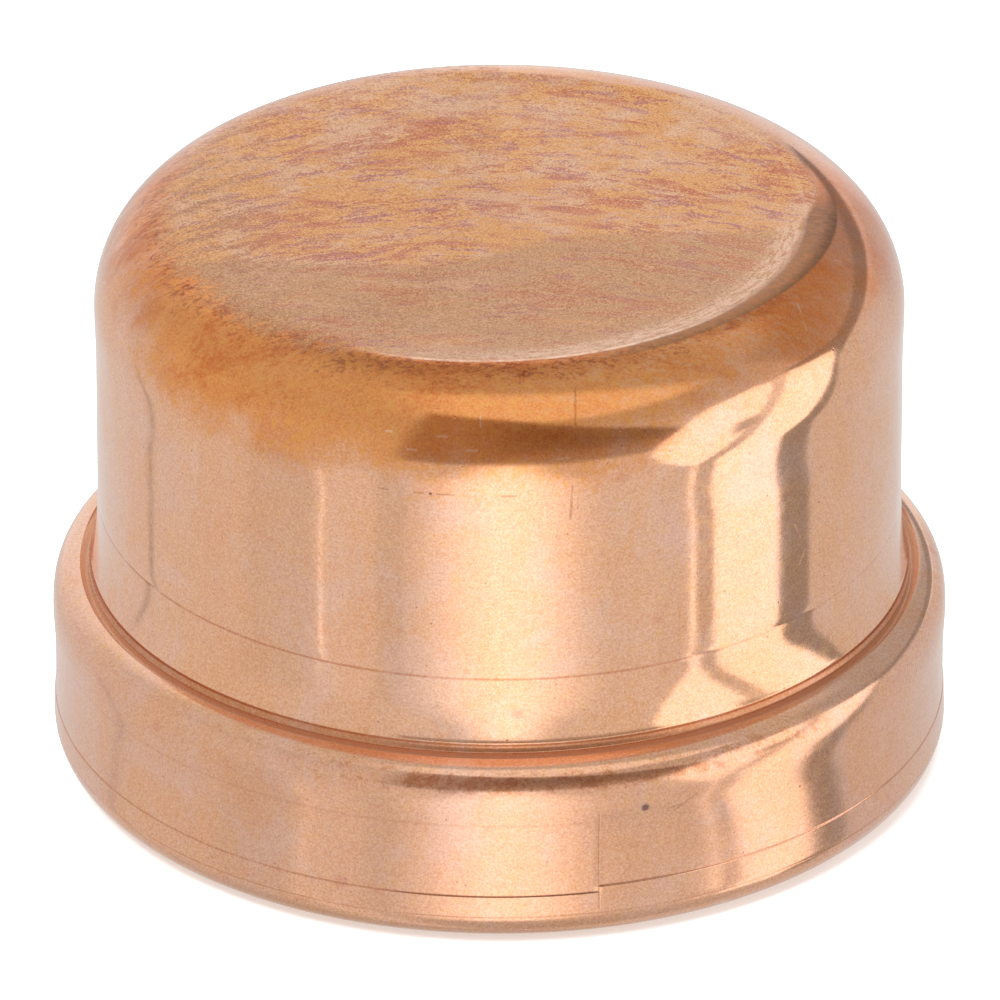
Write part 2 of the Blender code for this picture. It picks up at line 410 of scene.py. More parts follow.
def grip_ring():
    """The split steel ring, with slots cut between its biting teeth."""
    teeth, split_at, split, slot_share = 28, 215, 6, 0.28
    bite, root = BORE_RADIUS - 0.0625, BORE_RADIUS + 1.1375
    start = split_at + split / 2
    pitch = (360 - split) / teeth
    slot = pitch * slot_share
    tooth, gap = np.array(grip_section(bite, root)), np.array(grip_section(root, root))
    stations = []
    for i in range(teeth):
        low = start + pitch * i + (slot / 2 if i else 0)
        high = start + pitch * (i + 1) - (slot / 2 if i < teeth - 1 else 0)
        flank = slot * 0.14
        if i:
            stations += [(low - flank, 0), (low, 0), (low + flank, 0.85), (low + 2 * flank, 1)]
        else:
            stations += [(low, 1)]
        stations += [(low + (high - low) * k / 8, 1) for k in range(2, 7)]
        if i < teeth - 1:
            stations += [(high - 2 * flank, 1), (high - flank, 0.85), (high, 0), (high + flank, 0)]
        else:
            stations += [(high, 1)]
    rows = []
    for degrees, share in stations:
        a = math.radians(degrees)
        section = gap + (tooth - gap) * share
        rows.append([(r * math.cos(a), r * math.sin(a), z) for r, z in section])
    count = len(tooth)
    faces = ring_faces(len(rows), count, False)
    faces.append(tuple(range(count)))
    faces.append(tuple(reversed(range((len(rows) - 1) * count, len(rows) * count))))
    verts = np.array(rows).reshape(-1, 3) * MM
    return mesh_object("steel_grip", verts, faces, 28)


# ---- Node helpers ----

class Nodes:
    """Short calls for building a node tree."""

    def __init__(self, tree):
        self.tree = tree

    def add(self, kind, *values, **settings):
        """A new node with its first inputs and its settings."""
        node = self.tree.nodes.new(kind)
        for name, value in settings.items():
            setattr(node, name, value)
        for socket, value in zip(node.inputs, values):
            self.put(socket, value)
        return node

    def put(self, socket, value):
        """Links a socket, or gives it a value. A colour is (red, green, blue)."""
        if isinstance(value, bpy.types.NodeSocket):
            self.tree.links.new(value, socket)
        elif value is not None:
            socket.default_value = (*value, 1) if socket.type == "RGBA" else value

    def math(self, operation, *values, clamp=False):
        return self.add("ShaderNodeMath", *values, operation=operation, use_clamp=clamp).outputs[0]

    def times(self, *values):
        product = values[0]
        for value in values[1:]:
            product = self.math("MULTIPLY", product, value)
        return product

    def plus(self, *values):
        total = values[0]
        for value in values[1:]:
            total = self.math("ADD", total, value)
        return total

    def minus(self, value, less):
        return self.math("SUBTRACT", value, less)

    def swing(self, noise, amount):
        """A noise made to swing round 0."""
        return self.times(self.minus(noise, 0.5), amount)

    def azimuth(self, x, y):
        """The azimuth of a direction in degrees, from -180 to 180."""
        return self.times(self.math("ARCTAN2", x, self.times(y, -1)), DEGREES)

    def vector(self, operation, *values):
        node = self.add("ShaderNodeVectorMath", *values, operation=operation)
        is_number = operation in ("LENGTH", "DOT_PRODUCT", "DISTANCE")
        return node.outputs["Value"] if is_number else node.outputs[0]

    def scaled(self, vector, by):
        return self.vector("SCALE", vector, None, None, by)

    def split(self, vector):
        return self.add("ShaderNodeSeparateXYZ", vector).outputs

    def join(self, *values):
        return self.add("ShaderNodeCombineXYZ", *values).outputs[0]

    def ramp(self, value, low, high, out_low=0.0, out_high=1.0):
        """Eases from out_low to out_high as value goes from low to high."""
        values = (value, low, high, out_low, out_high)
        return self.add("ShaderNodeMapRange", *values, interpolation_type="SMOOTHSTEP").outputs[0]

    def near(self, value, at, width):
        """1 where value is at, easing to 0 at width on each side of it."""
        return self.ramp(self.math("ABSOLUTE", self.minus(value, at)), width, width * 0.3)

    def between(self, value, low, high, soft):
        """1 from low to high, easing to 0 over soft beyond them."""
        return self.times(self.ramp(value, low - soft, low), self.ramp(value, high + soft, high))

    def noise(self, where, scale, detail=3.0, roughness=0.55, stretch=(1, 1, 1), distortion=0.0, offset=0.0):
        """Noise between 0 and 1. scale is in cycles per millimetre."""
        placed = self.vector("ADD", self.vector("MULTIPLY", where, stretch), (offset, offset * 0.7, -offset))
        node = self.add("ShaderNodeTexNoise")
        names = ("Vector", "Scale", "Detail", "Roughness", "Distortion")
        for name, value in zip(names, (placed, scale, detail, roughness, distortion)):
            self.put(node.inputs[name], value)
        return node.outputs["Fac"]

    def cells(self, where, scale, feature):
        """Distance in cells to a random point, or to the edge between two of them."""
        node = self.add("ShaderNodeTexVoronoi", feature=feature)
        self.put(node.inputs["Vector"], where)
        self.put(node.inputs["Scale"], scale)
        return node.outputs["Distance"]

    def mix(self, share, a, b, blend="MIX"):
        node = self.add("ShaderNodeMix", data_type="RGBA", blend_type=blend)
        self.put(node.inputs[0], share)
        self.put(node.inputs[6], a)
        self.put(node.inputs[7], b)
        return node.outputs[2]

    def tint(self, share, colour, by):
        return self.mix(share, colour, by, "MULTIPLY")

    def bump(self, height, shader):
        """Bends the shader's normal by a height in microns."""
        node = self.add("ShaderNodeBump")
        node.inputs["Distance"].default_value = MM * MM
        self.put(node.inputs["Height"], height)
        self.put(shader.inputs["Normal"], node.outputs[0])


def new_material(name):
    """A material with its nodes, its shader, and the place on the object in millimetres."""
    made = bpy.data.materials.new(name)
    made.use_nodes = True
    made.node_tree.nodes.clear()
    n = Nodes(made.node_tree)
    shader = n.add("ShaderNodeBsdfPrincipled")
    out = n.add("ShaderNodeOutputMaterial")
    made.node_tree.links.new(shader.outputs[0], out.inputs["Surface"])
    where = n.add("ShaderNodeTexCoord").outputs["Object"]
    return made, n, shader, n.scaled(where, 1 / MM)


def surface(n, shader, colour, rough, height, metallic=0):
    """Gives a shader its colour, its roughness and a bump in microns."""
    n.put(shader.inputs["Base Color"], colour)
    n.put(shader.inputs["Roughness"], rough)
    n.put(shader.inputs["Metallic"], metallic)
    n.bump(height, shader)


# ---- Copper ----

# Colours that are mixed in
CLEAN = (0.93, 0.52, 0.325)
# Also painted on the left and right sides as a grazing sheen
PINK_AND_LIMB_SHEEN = (0.92, 0.575, 0.43)
YELLOW = (0.93, 0.53, 0.25)
ORANGE = (0.93, 0.49, 0.26)
RED = (0.86, 0.42, 0.26)
AMBER = (0.88, 0.45, 0.14)
PALE_SAND = (1, 0.68, 0.5)
DUST = (0.5, 0.19, 0.09)
BLOOM = (0.8, 0.45, 0.25)
# Brown tarnish painted dark as a reflection, outside the dish's rim on the right
RIM_TARNISH_AND_REFLECTION = (0.35, 0.165, 0.08)
# Wear on the rim, and its painted highlight
RIM_WORN_AND_HIGHLIGHT = (0.94, 0.63, 0.46)
GROOVE = (0.88, 0.64, 0.5)
# Pale scratches, and the painted glints of small dents
PALE_SCRATCH_AND_GLINT = (1, 0.78, 0.6)
DARK_SPOT = (0.16, 0.09, 0.10)
DISH_GOLD = (0.80, 0.41, 0.165)
DISH_PEACH = (0.80, 0.485, 0.305)
DISH_RED = (0.61, 0.21, 0.115)
DISH_PURPLE = (0.54, 0.225, 0.21)
# The painted reflection of a dark panel on the dish's front
DISH_GREY_REFLECTION = (0.60, 0.335, 0.178)
DISH_BROWN = (0.56, 0.3, 0.165)
# Paler tarnish towards the back, and a painted highlight just inside the rim
DISH_PALE_AND_HIGHLIGHT = (0.85, 0.56, 0.39)
DISH_SAND = (0.88, 0.56, 0.34)

# Colours that what is below them is multiplied by
TARNISH = (0.95, 0.68, 0.36)
SCORCH = (1.0, 0.74, 0.56)
MOTTLE_TINT = (0.9, 0.8, 0.78)
SAND_TINT = (0.78, 0.68, 0.62)
CLOUD_TINT = (0.85, 0.8, 0.75)
GRAIN_TINT = (0.72, 0.62, 0.55)
STREAK_TINT = (0.88, 0.7, 0.62)
RUST_TINT = (0.86, 0.6, 0.5)
BURNT_TINT = (0.78, 0.68, 0.66)
SMOKE_TINT = (0.74, 0.55, 0.44)
DULL_TINT = (0.78, 0.72, 0.74)
DISH_SAND_TINT = (0.74, 0.6, 0.5)
# Painted shade along the forming line's crease
FORMING_CREASE_SHADE = (0.7, 0.5, 0.4)
# Painted shade in the neck's recess
NECK_SHADE_TINT = (0.7, 0.56, 0.47)
SMUDGE_TINT = (0.72, 0.52, 0.38)
SCRATCH_TINT = (0.5, 0.38, 0.32)
SPECK_TINT = (0.5, 0.36, 0.3)
BLOTCH_TINT = (0.78, 0.58, 0.66)
STAIN_TINT = (0.7, 0.45, 0.5)
SEAM_TINT = (0.6, 0.45, 0.38)
# Painted shade that dims the skirt's reflection
SKIRT_PAINTED_SHADE = (0.95, 0.93, 0.94)
DIE_LINE_TINT = (0.65, 0.48, 0.4)

SKIRT_STARTS = (38.6, 38.8)  # distances from the axis over which the body's look gives way to the skirt's
SLANT = 0.0125  # bends the dish's streaks forward on both sides

# Marks left by handling, as (azimuth, radius, height, size)
DARK_SPOTS = [(18.7, 39.5, 12.65, 0.5), (-9.6, 35.6, 42.2, 0.2)]
STAINS = [(-64, 30.3, 50.85, 1.3), (-53.5, 30.0, 50.95, 1.1), (-37, 28.8, 51.3, 1.2), (4, 29.8, 51.0, 0.8)]
DENTS = [(20.3, 38.1, 16.9, 0.6), (41.2, 37.1, 17.3, 0.5), (-20.4, 35.6, 42.6, 0.4)]
# Scratches, as two (azimuth, radius, height) ends and a width
SCRATCHES = [
    ((22.7, 39.5, 11.84), (25.7, 39.54, 13.1), 0.17), ((21.6, 39.5, 12.1), (24.2, 39.5, 12.35), 0.1),
    ((12.0, 31.43, 50.27), (11.5, 32.8, 49.25), 0.15), ((11.5, 32.8, 49.25), (11.1, 33.93, 47.95), 0.15),
    ((11.1, 33.93, 47.95), (10.9, 34.6, 46.9), 0.15), ((10.2, 35.5, 42.9), (10.0, 35.5, 39.8), 0.2),
    ((46.2, 35.5, 33.6), (47.4, 35.5, 32.1), 0.1), ((47.2, 35.5, 29.4), (48.6, 35.5, 30.6), 0.09),
    ((11.1, 35.5, 42.9), (11.0, 35.5, 40.6), 0.12), ((-16.8, 35.6, 42.2), (-15.5, 35.6, 42.2), 0.13),
    ((-12, 35.6, 42.2), (-10.6, 35.6, 42.2), 0.1), ((-8.8, 35.6, 42.2), (-6.4, 35.6, 42.2), 0.12),
    ((0.3, 35.6, 42.2), (2.3, 35.6, 42.2), 0.15),
]
# Pale scratches on the corner, and short pale dashes below it painted as the glints of small dents, as two
# (azimuth, radius, height) ends and a width
PALE_SCRATCHES_AND_GLINTS = [
    ((-85.6, 29.8, 51.1), (-77.8, 22.6, 50.9), 0.12), ((-84, 29.2, 51.1), (-79, 24.5, 50.9), 0.08),
    ((58, 30.5, 50.8), (55, 32.5, 49.5), 0.1), ((47, 30.6, 50.7), (49, 32, 49.8), 0.08),
    ((-13, 35.0, 46.0), (-11.8, 35.0, 46.0), 0.16), ((-4.6, 34.9, 46.25), (-3.2, 34.9, 46.25), 0.16),
    ((-16.4, 34.4, 47.2), (-15.6, 34.4, 47.2), 0.15), ((-8.9, 34.4, 47.2), (-7.5, 34.4, 47.2), 0.16),
    ((-2.8, 33.3, 48.7), (-2.7, 33.9, 48.0), 0.12), ((8.2, 35.2, 45.4), (9.8, 35.2, 45.5), 0.1),
]


def at(azimuth, radius, height):
    a = math.radians(azimuth)
    return Vector((radius * math.sin(a), -radius * math.cos(a), height))


def spots(n, where, places):
    """A mask over small round marks."""
    mask = 0.0
    for azimuth, radius, height, size in places:
        distance = n.vector("DISTANCE", where, at(azimuth, radius, height))
        mask = n.math("MAXIMUM", mask, n.ramp(distance, size, size * 0.35))
    return mask


def scratches(n, where, lines):
    """A mask over short straight scratches."""
    mask = 0.0
    for start, end, width in lines:
        start, end = at(*start), at(*end)
        run = end - start
        away = n.vector("SUBTRACT", where, start)
        share = n.math("MULTIPLY", n.vector("DOT_PRODUCT", away, run), 1 / run.length_squared, clamp=True)
        distance = n.vector("DISTANCE", away, n.scaled(run, share))
        mask = n.math("MAXIMUM", mask, n.ramp(distance, width, width * 0.3))
    return mask


def seam_mask(n, f):
    """The fine upright lines where the die's halves met."""
    a = math.radians(SEAM_AZIMUTH)
    aside = n.vector("DOT_PRODUCT", f.where, (math.cos(a), math.sin(a), 0))
    return n.times(n.near(aside, 0, 0.11), n.between(f.z, 3.4, SEAM_TOP - 0.3, 0.5), f.on_skirt)


def hairlines(n, where, scale, width, seed, share):
    """Short thin scratches: parts of the edges between random cells."""
    bent = n.vector("ADD", where, (seed, seed * 2, seed * 3))
    line = n.ramp(n.cells(bent, scale, "DISTANCE_TO_EDGE"), width, 0)
    return n.times(line, n.ramp(n.noise(where, scale * 1.6, 2, offset=seed), 1 - share, 1.05 - share))


class Coat:
    """A colour built up from layers."""

    def __init__(self, n, colour):
        self.n = n
        self.colour = colour

    def mix(self, share, by):
        self.colour = self.n.mix(share, self.colour, by)

    def tint(self, share, by):
        self.colour = self.n.tint(share, self.colour, by)


def copper_fields(n, where):
    """The coordinates and noises that the copper's layers share."""
    f = SimpleNamespace(where=where)
    f.x, f.y, f.z = n.split(where)
    flat = n.vector("MULTIPLY", where, (1, 1, 0))
    f.from_axis = n.vector("LENGTH", flat)
    f.outside_rim = n.minus(n.vector("DISTANCE", flat, (*DISH_CENTRE, 0)), DISH_RADIUS)
    f.azimuth = n.azimuth(f.x, f.y)
    f.slanted = n.vector("ADD", where, n.scaled((0, SLANT, 0), n.times(f.x, f.x)))
    f.on_top = n.ramp(f.z, 48, 49.5)
    f.on_skirt = n.ramp(f.from_axis, *SKIRT_STARTS)

    f.cloud = n.noise(where, 0.05, 3)
    f.patch = n.noise(where, 0.15, 5, 0.6, offset=11)
    f.streak = n.noise(where, 0.11, 5, 0.62, stretch=(0.5, 1.7, 1.2), distortion=0.8, offset=5)
    f.mottle = n.noise(where, 1.1, 4, 0.7, offset=3)
    f.grain = n.noise(where, 4.0, 2, 0.7, offset=9)
    f.sand = n.noise(where, 5.2, 2, 0.8, offset=13)
    f.drawn = n.noise(where, 0.45, 4, 0.6, stretch=(1, 1, 0.05))
    f.spun = n.noise(where, 1.6, 4, 0.7, stretch=(0.04, 0.04, 1.6), offset=17)
    f.dusting = n.noise(where, 0.8, 4, 0.8, stretch=(0.7, 1.3, 1), offset=29)
    f.fleck = n.noise(where, 1.7, 3, 0.8, stretch=(0.8, 1.3, 1), offset=37)
    f.ragged = n.plus(n.swing(f.streak, 4), n.swing(f.dusting, 9))
    return f


def paint_metal(n, f, coat):
    """The bare metal: pink, yellow and orange patches under a fine grain, and pink painted on its sides as a
    grazing sheen.
    """
    aside = n.math("ABSOLUTE", f.azimuth)
    # Pink in random patches, and pink painted on the left and right sides as the grazing sheen seen there
    # from the front
    pink_patches_and_limb_sheen = n.plus(n.ramp(f.patch, 0.5, 0.68, 0, 0.7), n.ramp(aside, 48, 80, 0, 0.8))
    coat.mix(n.math("MINIMUM", pink_patches_and_limb_sheen, 1), PINK_AND_LIMB_SHEEN)
    coat.mix(n.ramp(f.mottle, 0.5, 0.68, 0, 0.65), YELLOW)
    rosy = n.noise(f.where, 0.13, 4, 0.65, stretch=(1, 1, 0.7), distortion=0.5, offset=71)
    coat.mix(n.ramp(rosy, 0.53, 0.64, 0, 0.75), PINK_AND_LIMB_SHEEN)
    coat.mix(n.ramp(rosy, 0.47, 0.37, 0, 0.65), ORANGE)
    coat.tint(n.ramp(f.mottle, 0.5, 0.34, 0, 0.3), MOTTLE_TINT)
    coat.mix(n.ramp(f.sand, 0.5, 0.38, 0, 0.5), PALE_SAND)
    coat.tint(n.ramp(f.sand, 0.5, 0.62, 0, 0.4), SAND_TINT)
    coat.mix(n.ramp(f.drawn, 0.45, 0.75, 0, 0.18), RED)
    coat.tint(n.ramp(f.cloud, 0.35, 0.65, 0, 0.12), CLOUD_TINT)
    coat.tint(n.ramp(f.grain, 0.4, 0.66, 0, 0.32), GRAIN_TINT)


def paint_tarnish(n, f, coat):
    """Yellow heat tarnish above a ragged line, scorched on the right of the corner. Returns its mask."""
    height = n.plus(f.z, n.swing(f.patch, 12), n.swing(f.mottle, 6))
    lowest = n.plus(n.ramp(f.azimuth, 12, 36, 41.5, 46), n.ramp(f.azimuth, -52, -80, 0, 5))
    lowest = n.plus(lowest, n.ramp(f.azimuth, 55, 85, 0, 3.5))
    warm = n.times(n.ramp(n.minus(height, lowest), 0, 6), n.ramp(f.y, 4, 24, 1, 0.45))
    coat.tint(warm, TARNISH)
    coat.tint(n.times(warm, n.ramp(f.streak, 0.48, 0.62, 0, 0.5)), STREAK_TINT)
    coat.mix(n.times(warm, n.ramp(f.mottle, 0.5, 0.62, 0, 0.35)), AMBER)
    scorched = n.times(n.ramp(f.azimuth, 28, 62), n.ramp(f.azimuth, 120, 100), n.ramp(f.z, 46.8, 48.4))
    coat.tint(n.times(scorched, n.ramp(f.streak, 0.4, 0.55, 0.7, 1)), SCORCH)
    return warm


def paint_rim_dust(n, f, coat, warm):
    """Brown dust, rusty flecks, and a tarnish band painted dark as a reflection, round the outside of the
    dish's rim. Returns the dust's mask.
    """
    dust = n.times(n.ramp(n.plus(f.outside_rim, f.ragged), 3.4, 0.8), n.ramp(f.fleck, 0.5, 0.58), f.on_top)
    dust = n.times(dust, n.ramp(f.azimuth, 85, 50))
    coat.mix(n.times(dust, 0.9), DUST)
    bloom = n.times(n.ramp(f.dusting, 0.5, 0.62), f.on_top)
    bloom = n.times(bloom, n.ramp(f.azimuth, -10, 20), n.ramp(f.azimuth, 70, 50))
    coat.mix(n.times(bloom, 0.6), BLOOM)
    rusty = n.ramp(n.plus(n.times(f.streak, 0.5), n.times(f.fleck, 0.5)), 0.52, 0.6)
    rusty = n.times(warm, rusty, n.ramp(f.z, 44, 48))
    coat.tint(n.times(rusty, n.ramp(f.azimuth, 60, 20), 0.55), RUST_TINT)
    burnt = n.times(n.ramp(n.plus(f.outside_rim, n.times(f.ragged, 0.3)), 3, 0.6), f.on_top)
    burnt = n.times(burnt, n.ramp(f.azimuth, 75, 50), n.ramp(f.azimuth, -42, -12))
    coat.tint(burnt, BURNT_TINT)
    # A brown band of tarnish outside the rim on the right, painted darker as the reflection of a dark corner
    # of the studio
    reach = n.plus(n.ramp(f.azimuth, -5, 22, 0, 1.3), n.ramp(f.azimuth, 38, 92, 0, 1.4))
    tarnish_and_reflection = n.times(n.ramp(n.minus(f.outside_rim, reach), 0.12, -0.12), f.on_top)
    tarnish_and_reflection = n.times(tarnish_and_reflection, n.ramp(f.azimuth, 8, 34), n.ramp(f.azimuth, 104, 88))
    coat.mix(n.times(tarnish_and_reflection, n.ramp(f.fleck, 0.4, 0.58, 0.75, 1)), RIM_TARNISH_AND_REFLECTION)
    return dust


def dish_mask(n, f):
    """Where the dish's tarnish lies: inside its rim in front, and beyond it on the left and right."""
    leftward = n.times(n.ramp(f.azimuth, -18, -32), n.ramp(f.azimuth, -176, -150))
    rightward = n.times(n.ramp(f.azimuth, 84, 100, 0, 1.6), n.ramp(f.azimuth, 160, 140))
    spread = n.plus(n.times(leftward, n.plus(n.times(f.ragged, 0.8), 1.4)), rightward)
    soft = n.ramp(leftward, 0, 1, 0.7, 2.4)
    return n.times(n.ramp(n.minus(f.outside_rim, spread), 0.1, n.times(soft, -1)), f.on_top)


def dish_colour(n, f):
    """The end's uneven tarnish: gold and peach with red and purple streaks, and a painted reflection of a
    dark panel greying its front.
    """
    coat = Coat(n, DISH_GOLD)
    rough_edge = n.swing(f.sand, 0.3)
    fine = n.swing(n.noise(f.slanted, 1.1, 4, 0.75, stretch=(0.4, 1.4, 1), offset=51), 0.7)
    smear = n.noise(f.slanted, 0.2, 5, 0.72, stretch=(0.5, 1.25, 1), distortion=1.2, offset=23)
    smear = n.plus(smear, rough_edge, fine)
    coat.mix(n.ramp(n.plus(f.patch, rough_edge, fine), 0.47, 0.56), DISH_PEACH)
    red = n.times(n.ramp(smear, 0.47, 0.57), n.ramp(f.streak, 0.4, 0.54, 0.15, 1))
    coat.mix(n.times(red, 0.9), DISH_RED)
    purple = n.noise(f.slanted, 0.4, 5, 0.72, stretch=(0.45, 1.3, 1), offset=41)
    coat.mix(n.ramp(n.plus(purple, rough_edge, fine), 0.55, 0.64, 0, 0.85), DISH_PURPLE)
    # The front of the dish greyer and darker beyond a stepped, slanted edge: a painted reflection of the dark
    # opening's upper edge, mottled by the smear
    edge = n.plus(n.ramp(f.x, -9, 9, -9.5, -2.5), n.swing(smear, 4))
    front = n.ramp(n.minus(edge, f.y), -0.9, 0.9)
    panel_reflection = n.mix(n.ramp(smear, 0.6, 0.42, 0.35, 0.9), coat.colour, DISH_GREY_REFLECTION)
    coat.mix(front, panel_reflection)
    coat.mix(n.times(n.ramp(f.x, -17, -27), n.ramp(smear, 0.44, 0.58, 0.1, 0.85)), DISH_BROWN)
    coat.mix(n.times(n.ramp(f.y, 4, 24, 0, 0.4), n.ramp(f.patch, 0.4, 0.58)), DISH_PALE_AND_HIGHLIGHT)
    # A pale, brushed band just inside the rim at the front and right: a painted highlight of the rim's inner
    # slope
    round_rim = n.join(f.outside_rim, n.times(f.azimuth, 0.47), 0.0)
    brushed = n.noise(round_rim, 1.4, 3, 0.75, stretch=(1.5, 0.35, 1))
    band = n.times(n.ramp(f.outside_rim, -3.6, -1.4), n.ramp(f.azimuth, -24, 12), n.ramp(f.azimuth, 96, 80))
    coat.mix(n.times(band, n.ramp(brushed, 0.4, 0.54, 0.1, 1)), DISH_PALE_AND_HIGHLIGHT)
    coat.mix(n.ramp(f.sand, 0.48, 0.36, 0, 0.3), DISH_SAND)
    coat.tint(n.ramp(f.sand, 0.44, 0.6, 0, 0.8), DISH_SAND_TINT)
    return coat.colour


def paint_dish(n, f, coat):
    """Smoke on the corner's two sides, then the dish, and the worn rim round it painted lighter in front as a
    highlight. Returns the dish's mask.
    """
    on_dish = dish_mask(n, f)
    smoke = n.noise(f.slanted, 0.17, 4, 0.65, stretch=(0.3, 1.3, 1), offset=61)
    smoky = n.times(n.ramp(f.azimuth, -50, -80), n.ramp(f.azimuth, -176, -150), n.ramp(f.z, 45, 48.5))
    coat.tint(n.times(smoky, n.ramp(smoke, 0.44, 0.58, 0.5, 1)), SMOKE_TINT)
    dulled = n.times(n.ramp(f.azimuth, 66, 90), n.ramp(f.azimuth, 176, 150), n.ramp(f.z, 44, 47.5))
    coat.tint(n.times(dulled, n.ramp(smoke, 0.4, 0.6, 0.7, 1)), DULL_TINT)
    coat.mix(on_dish, dish_colour(n, f))
    # A lighter line on the rim, from the front round to the right: partly wear, partly a painted highlight of
    # its edge
    rim = n.times(n.near(f.outside_rim, -0.12, 0.32), n.ramp(f.z, 49, 50))
    worn_and_lit = n.times(n.ramp(f.azimuth, -28, -10), n.ramp(f.azimuth, 60, 20, 0.2, 1))
    coat.mix(n.times(rim, worn_and_lit, n.ramp(f.mottle, 0.35, 0.6, 0.4, 1)), RIM_WORN_AND_HIGHLIGHT)
    return on_dish


def paint_bands(n, f, coat):
    """The forming line and the neck, both painted darker as shade in their creases, and the groove. Returns a
    mask over the last two.
    """
    # A darker line along the forming line's crease, painted shade, strongest on the left and in front
    forming = n.near(f.z, FLARE_TOP - 0.05, 0.16)
    forming = n.times(forming, n.ramp(f.from_axis, BODY_RADIUS - 1, BODY_RADIUS - 0.5))
    forming = n.times(forming, n.ramp(f.azimuth, 8, 40, 1, 0.35), n.ramp(f.drawn, 0.3, 0.55, 0.5, 1))
    coat.tint(n.times(forming, 0.75), FORMING_CREASE_SHADE)
    # The neck under the flare's edge painted darker, as shade in the recess
    neck = n.ramp(f.from_axis, BODY_RADIUS + 1.3, BODY_RADIUS + 1.1)
    neck = n.times(n.between(f.z, 17.42, 18.15, 0.1), neck)
    coat.tint(n.times(neck, n.ramp(f.mottle, 0.3, 0.6, 0.75, 1)), NECK_SHADE_TINT)
    groove = n.times(n.between(f.z, 16.3, 17.3, 0.15), n.near(f.from_axis, GROOVE_RADIUS, 0.8))
    coat.mix(n.times(groove, 0.9), GROOVE)
    smudge = n.times(n.between(f.z, 15.2, 16.4, 0.5), n.ramp(f.from_axis, 37.2, 37.8))
    smudge = n.times(smudge, n.ramp(f.dusting, 0.5, 0.57), n.between(f.azimuth, -20, 40, 12))
    coat.tint(n.times(smudge, 0.6), SMUDGE_TINT)
    return n.plus(neck, groove)


def paint_marks(n, f, coat, on_dish):
    """Scratches, specks, stains, dark spots and pale dashes painted as the glints of small dents. Returns the
    masks of scratches, specks and dark spots.
    """
    scratch = n.times(hairlines(n, f.where, 0.22, 0.01, 4, 0.3), n.ramp(on_dish, 1, 0))
    scratch = n.math("MAXIMUM", n.times(scratch, 0.5), scratches(n, f.where, SCRATCHES))
    coat.tint(n.times(scratch, 0.45), SCRATCH_TINT)
    speck = n.ramp(n.cells(f.where, 0.6, "F1"), 0.09, 0.03)
    coat.tint(n.times(speck, 0.5), SPECK_TINT)
    blotch = n.ramp(n.cells(n.vector("ADD", f.where, (7, 7, 7)), 0.13, "F1"), 0.12, 0.05)
    coat.tint(n.times(blotch, 0.35), BLOTCH_TINT)
    coat.tint(n.times(spots(n, f.where, STAINS), n.ramp(f.fleck, 0.35, 0.6, 0.1, 0.7)), STAIN_TINT)
    # Pale scratches, and pale dashes painted as the glints of small dents
    coat.mix(n.times(scratches(n, f.where, PALE_SCRATCHES_AND_GLINTS), 0.4), PALE_SCRATCH_AND_GLINT)
    dark = spots(n, f.where, DARK_SPOTS)
    coat.mix(n.times(dark, 0.85), DARK_SPOT)
    return scratch, speck, dark


def paint_die_marks(n, f, coat):
    """What the dies left on the skirt, and the skirt painted a little darker to dim its reflection. Returns
    the masks of the seam and of the rings below and above.
    """
    seam = seam_mask(n, f)
    coat.tint(n.times(seam, 0.5), SEAM_TINT)
    # The whole skirt painted a little darker, as painted shade that dims its bright reflection
    coat.tint(f.on_skirt, SKIRT_PAINTED_SHADE)
    past_seam = n.ramp(f.azimuth, SEAM_AZIMUTH - 0.1, SEAM_AZIMUTH + 0.1)
    die_edge = n.near(f.z, n.ramp(past_seam, 0, 1, *DIE_EDGE), 0.14)
    lower = n.times(n.near(f.z, LOWER_RING, 0.12), n.ramp(f.spun, 0.3, 0.6), f.on_skirt)
    upper = n.times(n.near(f.z, UPPER_RING, 0.2), n.ramp(past_seam, 1, 0), n.ramp(f.spun, 0.35, 0.6, 0.3, 1))
    lines = n.plus(lower, n.times(die_edge, f.on_skirt), n.times(upper, f.on_skirt, 0.4))
    coat.tint(n.times(lines, 0.5), DIE_LINE_TINT)
    return seam, lower, upper


def copper():
    """Drawn and formed copper: bright and pinkish, and heat tarnished on the corner and the dished end."""
    made, n, shader, where = new_material("copper")
    f = copper_fields(n, where)
    coat = Coat(n, CLEAN)
    paint_metal(n, f, coat)
    warm = paint_tarnish(n, f, coat)
    dust = paint_rim_dust(n, f, coat, warm)
    on_dish = paint_dish(n, f, coat)
    neck_shade_and_groove = paint_bands(n, f, coat)
    scratch, speck, dark = paint_marks(n, f, coat, on_dish)
    seam, lower, upper = paint_die_marks(n, f, coat)

    rough = n.plus(n.ramp(f.patch, 0.35, 0.7, 0.07, 0.1), n.ramp(f.mottle, 0.4, 0.7, 0, 0.04))
    dulling = [(warm, 0.02), (dust, 0.12), (f.on_skirt, 0.06), (on_dish, 0.17), (dark, 0.3)]
    for mask, amount in dulling + [(scratch, 0.15), (neck_shade_and_groove, 0.2)]:
        rough = n.plus(rough, n.times(mask, amount))

    spun_band = n.plus(n.between(f.z, 16.0, 19.5, 1.5), n.ramp(f.z, 5.6, 4.4))
    raised = n.plus(n.times(f.grain, 1.0), n.times(f.mottle, 1.6), n.times(f.patch, 6))
    raised = n.plus(raised, n.times(f.spun, spun_band, 2.5))
    raised = n.plus(raised, n.times(on_dish, f.streak, 22), n.times(on_dish, f.mottle, 5))
    cuts = n.plus(n.times(scratch, 3), n.times(speck, 5), n.times(seam, 8), n.times(lower, 8))
    cuts = n.plus(cuts, n.times(upper, 2), n.times(spots(n, f.where, DENTS), 12), n.times(dark, 6))
    surface(n, shader, coat.colour, rough, n.minus(raised, cuts), 1)
    return made


